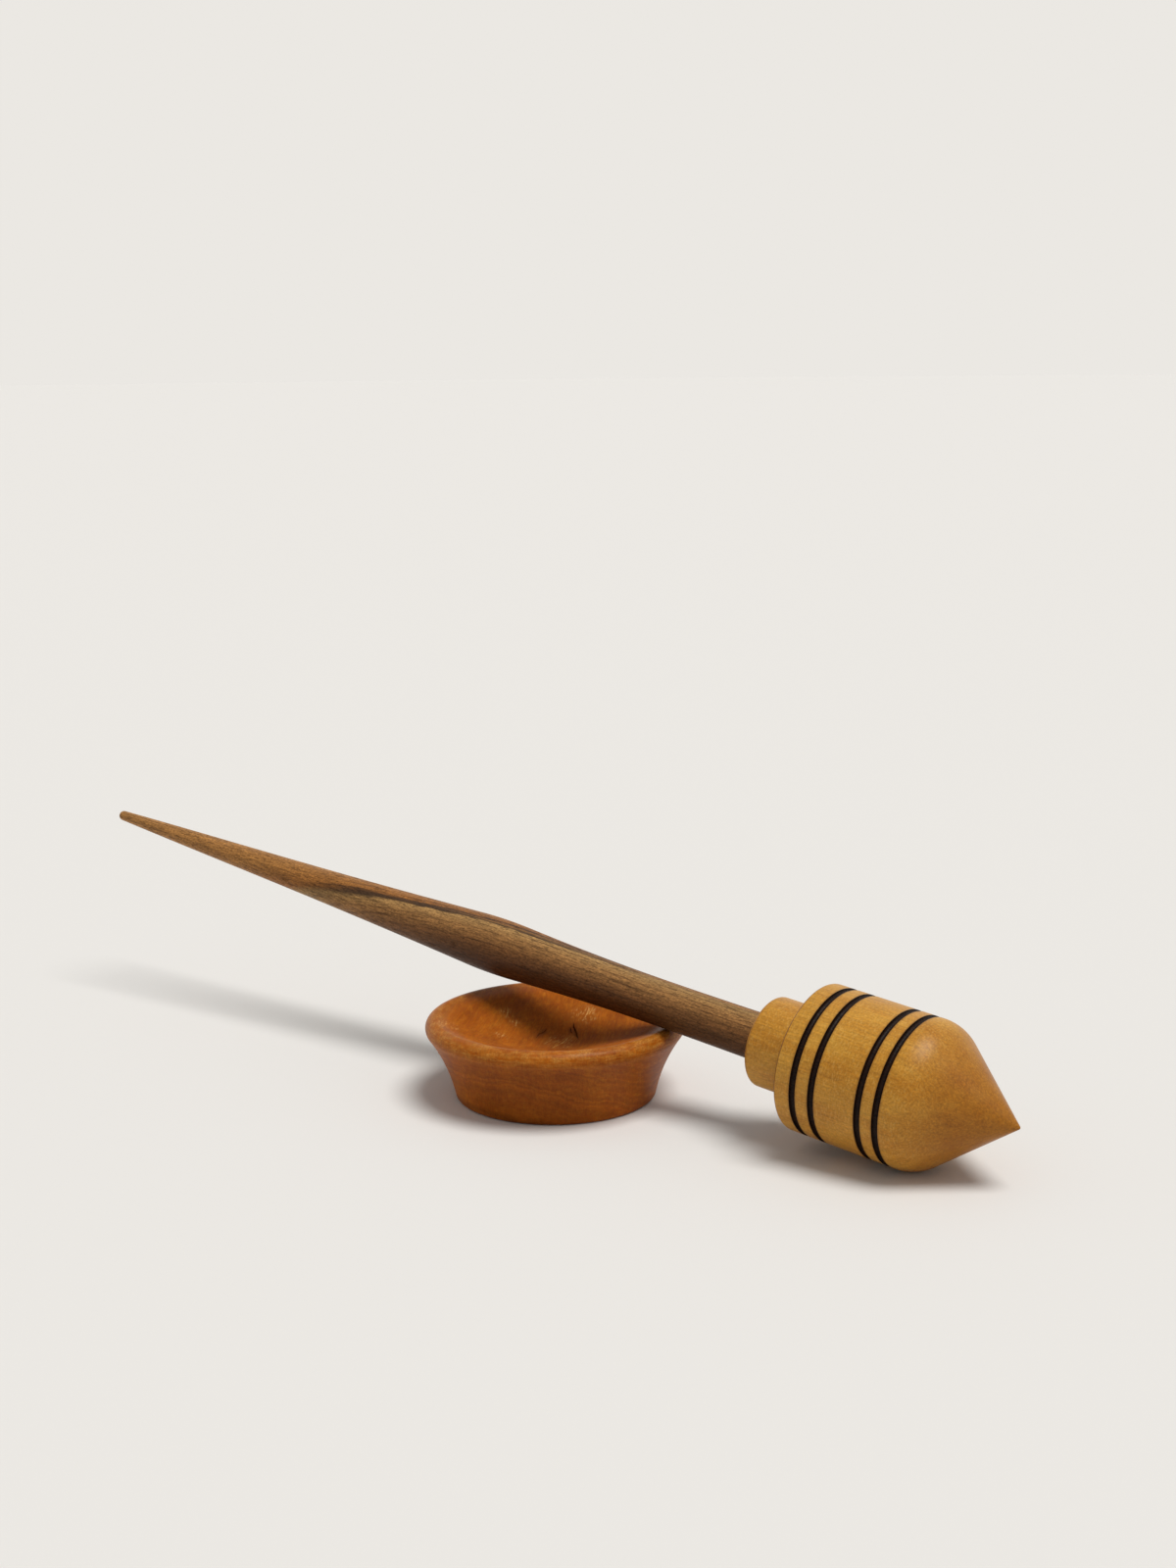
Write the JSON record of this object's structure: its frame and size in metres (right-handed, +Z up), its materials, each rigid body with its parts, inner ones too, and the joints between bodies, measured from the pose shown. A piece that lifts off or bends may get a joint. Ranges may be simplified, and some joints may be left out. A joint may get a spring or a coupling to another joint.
{
  "type": "support spindle",
  "caption": "Turned wooden support spindle: a pointed whorl with burnt lines on a long tapered shaft, leaning on the shallow bowl that its point spins in.",
  "frame": {"origin": "centre of the bowl's foot, on the surface that the object stands on", "axes": "+Z up; the spindle's plan runs along X, with the whorl's point towards +X and the shaft's free end towards -X and up"},
  "size_m": [0.2961, 0.0654, 0.0512],
  "materials": {
    "bowl_wood": "oiled satin",
    "whorl_wood": "oiled satin",
    "shaft_wood": "oiled satin",
    "charred_wood": "burnt satin"
  },
  "bodies": {
    "bowl": {"bowl": "bowl_wood"},
    "spindle": {"whorl": "whorl_wood", "shaft": "shaft_wood", "burnt_lines": "charred_wood"}
  },
  "joints": [
    {"name": "spindle_spin", "type": "hinge", "parent": "bowl", "child": "spindle", "pos_m": [0.12629, 0.0074, 0.01494], "axis": [-0.9931, 0, 0.1174], "continuous": true}
  ]
}
